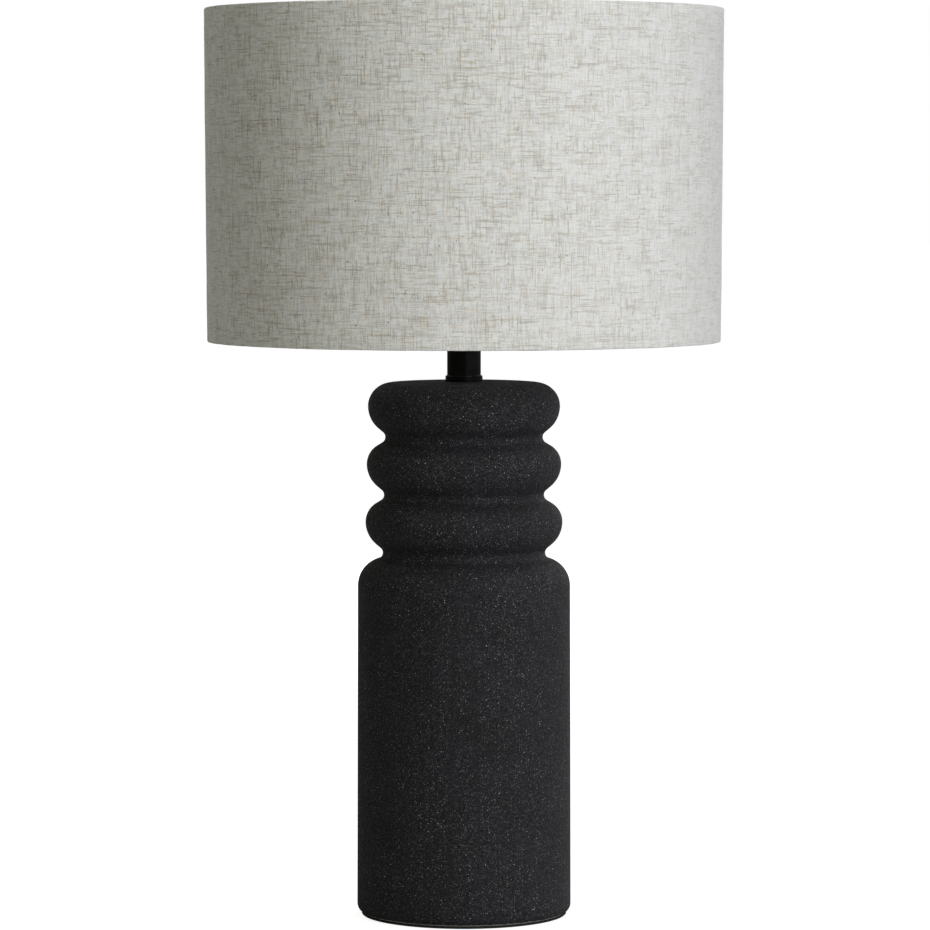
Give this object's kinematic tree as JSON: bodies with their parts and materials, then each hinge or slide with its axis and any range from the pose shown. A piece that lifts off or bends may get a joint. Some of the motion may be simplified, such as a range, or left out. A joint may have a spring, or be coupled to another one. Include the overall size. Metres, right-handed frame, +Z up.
{
  "type": "table lamp with shade",
  "caption": "Table lamp with a ribbed cylindrical ceramic base, a black neck, a detachable harp with a turn-knob socket, and a linen drum shade on a spider.",
  "frame": {"origin": "centre of the underside of the base pad", "axes": "+Z up along the lamp's axis, -Y towards the front, cord inlet at the back on +Y"},
  "size_m": [0.3569, 0.357, 0.6258],
  "materials": {
    "speckled_ceramic": "matte, sandy, with fine pale speckles",
    "pad_rubber": "matte",
    "bushing_plastic": "matte",
    "zinc_steel": "zinc plated, satin",
    "gloss_black_paint": "gloss black",
    "nickel_plate": "bright nickel",
    "socket_brass": "satin brass",
    "fibre_card": "matte fibre card",
    "phenolic": "dark moulded phenolic",
    "contact_brass": "bright brass",
    "white_wire": "white powder coat",
    "white_lining": "matte white styrene",
    "oatmeal_linen": "slubbed linen weave",
    "bulb_diffuser": "frosted",
    "bulb_plastic": "satin white",
    "board_aluminium": "satin",
    "bulb_nickel": "nickel plated",
    "bulb_insulator": "gloss black"
  },
  "bodies": {
    "base": {"ceramic_base": "speckled_ceramic", "base_pad": "pad_rubber", "cord_bushing": "bushing_plastic", "bottom_washer": "zinc_steel", "bottom_nut": "zinc_steel", "threaded_rod": "zinc_steel", "neck_collar": "gloss_black_paint", "neck_tube": "gloss_black_paint", "neck_seat_ring": "gloss_black_paint", "harp_saddle": "nickel_plate", "saddle_nut": "zinc_steel", "socket_cap": "socket_brass", "cap_set_screw": "zinc_steel", "socket_shell": "socket_brass", "socket_sleeve": "fibre_card", "switch_block": "phenolic", "screw_shell": "contact_brass", "centre_contact": "contact_brass", "terminal_screws": "contact_brass"},
    "knob": {"switch_shaft": "zinc_steel", "turn_knob": "phenolic"},
    "harp": {"harp": "nickel_plate"},
    "ferrule_left": {"ferrule_left": "nickel_plate"},
    "ferrule_right": {"ferrule_right": "nickel_plate"},
    "harp_stud": {"harp_stud": "nickel_plate"},
    "shade": {"shade_spider": "white_wire", "shade_bottom_ring": "white_wire", "shade_lining": "white_lining", "shade_cloth": "oatmeal_linen"},
    "finial": {"finial": "gloss_black_paint"},
    "bulb": {"bulb_globe": "bulb_diffuser", "bulb_housing": "bulb_plastic", "bulb_board": "board_aluminium", "bulb_cap": "bulb_nickel", "bulb_insulator": "bulb_insulator", "bulb_contact": "contact_brass"}
  },
  "joints": [
    {"name": "harp_lift", "type": "slide", "parent": "base", "child": "harp", "axis": [0, 0, 1], "range_m": [0, 0.02]},
    {"name": "left_ferrule_slide", "type": "slide", "parent": "harp", "child": "ferrule_left", "axis": [0, 0, 1], "range_m": [0, 0.014]},
    {"name": "right_ferrule_slide", "type": "slide", "parent": "harp", "child": "ferrule_right", "axis": [0, 0, 1], "range_m": [0, 0.014]},
    {"name": "stud_swivel", "type": "hinge", "parent": "harp", "child": "harp_stud", "pos_m": [0, 0, 0.6063], "axis": [0, 0, 1], "continuous": true},
    {"name": "shade_lift", "type": "slide", "parent": "harp_stud", "child": "shade", "axis": [0, 0, 1], "range_m": [0, 0.24]},
    {"name": "finial_unscrew", "type": "slide", "parent": "shade", "child": "finial", "axis": [0, 0, 1], "range_m": [0, 0.012]},
    {"name": "bulb_unscrew", "type": "slide", "parent": "base", "child": "bulb", "axis": [0, 0, 1], "range_m": [0, 0.028]},
    {"name": "knob_turn", "type": "hinge", "parent": "base", "child": "knob", "pos_m": [0, -0.0186, 0.4323], "axis": [0, 1, 0], "continuous": true}
  ]
}
